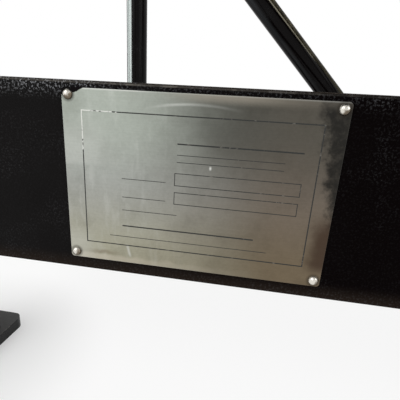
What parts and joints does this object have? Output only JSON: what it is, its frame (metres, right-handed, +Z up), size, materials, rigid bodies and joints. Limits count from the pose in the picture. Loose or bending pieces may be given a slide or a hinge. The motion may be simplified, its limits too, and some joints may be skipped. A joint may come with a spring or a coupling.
{
  "type": "disintegrator mill",
  "caption": "Floor-standing mill: a hopper and chute feed a hammer rotor turning inside a round screen, belt-driven by an upright motor on a tube and flat-bar stand.",
  "frame": {"origin": "on the floor at the middle of the four anchor holes", "axes": "+Z up, +X to the right seen from the front, +Y to the back; the nameplate faces -Y"},
  "size_m": [0.732, 0.7249, 1.3519],
  "materials": {
    "black_paint": "gloss black paint with dust and scuffs",
    "plate_metal": "worn brushed plate with a dark printed border",
    "screw_metal": "bright domes, slightly tarnished",
    "stainless": "brushed stainless",
    "zinc_fasteners": "zinc plated",
    "cast_grey": "painted casting",
    "sheave_iron": "machined grooves",
    "bearing_steel": "ground",
    "rubber": "matt",
    "motor_grey": "semi-gloss enamel",
    "black_plastic": "moulded"
  },
  "bodies": {
    "frame": {"bearing_cap": "cast_grey", "bearing_housing": "cast_grey", "bed_plate": "black_paint", "bed_rails": "black_paint", "bracket_bolts": "zinc_fasteners", "cap_screws": "zinc_fasteners", "chamber_cover": "stainless", "discharge_spout": "stainless", "door_gasket": "rubber", "feed_chamber": "stainless", "feed_chute": "stainless", "foot_plates": "black_paint", "front_rail": "black_paint", "gate_frame": "stainless", "guard_cover": "black_paint", "guard_pan": "black_paint", "hinge_pins": "stainless", "hopper": "stainless", "legs": "black_paint", "m10_bolts": "zinc_fasteners", "m8_bolts": "zinc_fasteners", "mill_housing": "stainless", "motor_bracket": "black_paint", "motor_studs": "zinc_fasteners", "nameplate": "plate_metal", "nameplate_screws": "screw_metal", "rear_brace": "black_paint", "rear_rail": "black_paint", "screen": "stainless", "screen_seat": "stainless", "shaft_bearings": "bearing_steel", "shaft_seal": "rubber", "side_brace": "black_paint", "side_rails": "black_paint", "v_belts": "rubber"},
    "door": {"housing_door": "stainless"},
    "knob_lower": {"door_knob_lower": "black_plastic"},
    "knob_upper": {"door_knob_upper": "black_plastic"},
    "rotor": {"rotor_shaft": "stainless", "rotor_hub": "stainless", "hammers": "stainless", "shaft_nuts": "zinc_fasteners", "driven_sheave": "sheave_iron"},
    "motor": {"motor_plate": "black_paint", "stud_nuts": "zinc_fasteners", "motor_frame": "motor_grey", "motor_foot_bolts": "zinc_fasteners", "motor_drive_end": "motor_grey", "motor_fan_end": "motor_grey", "stator": "bearing_steel", "fan_cover": "motor_grey", "conduit_box": "motor_grey", "conduit_cover": "motor_grey", "cable_gland": "black_plastic"},
    "motor_rotor": {"motor_shaft": "bearing_steel", "motor_fan": "black_plastic", "drive_sheave": "sheave_iron"},
    "lid": {"hopper_lid": "stainless", "lid_handle": "stainless"},
    "gate": {"feed_gate": "stainless"}
  },
  "joints": [
    {"name": "motor_slide", "type": "slide", "parent": "frame", "child": "motor", "axis": [1, 0, 0], "range_m": [-0.012, 0.015], "deforming": ["v_belts"]},
    {"name": "motor_spin", "type": "hinge", "parent": "motor", "child": "motor_rotor", "pos_m": [0.26095, 0, 1.046], "axis": [0, 0, 1], "continuous": true},
    {"name": "rotor_spin", "type": "hinge", "parent": "frame", "child": "rotor", "pos_m": [-0.10905, 0, 1.138], "axis": [0, 0, 1], "continuous": true},
    {"name": "door_swing", "type": "hinge", "parent": "frame", "child": "door", "pos_m": [-0.28785, -0.001, 0.782], "axis": [0, 0, -1], "range_deg": [0, 115]},
    {"name": "knob_lower_turn", "type": "hinge", "parent": "door", "child": "knob_lower", "pos_m": [0.04545, -0.02, 0.734], "axis": [0, 1, 0], "continuous": true},
    {"name": "knob_upper_turn", "type": "hinge", "parent": "door", "child": "knob_upper", "pos_m": [0.04545, -0.02, 0.83], "axis": [0, 1, 0], "continuous": true},
    {"name": "lid_swing", "type": "hinge", "parent": "frame", "child": "lid", "pos_m": [-0.10905, -0.1235, 1.30693], "axis": [-1, 0, 0], "range_deg": [0, 105]},
    {"name": "gate_pull", "type": "slide", "parent": "frame", "child": "gate", "axis": [0, -1, 0], "range_m": [0, 0.115]}
  ],
  "couplings": [
    {"joint": "rotor_spin", "follows": "motor_spin", "ratio": 2}
  ]
}
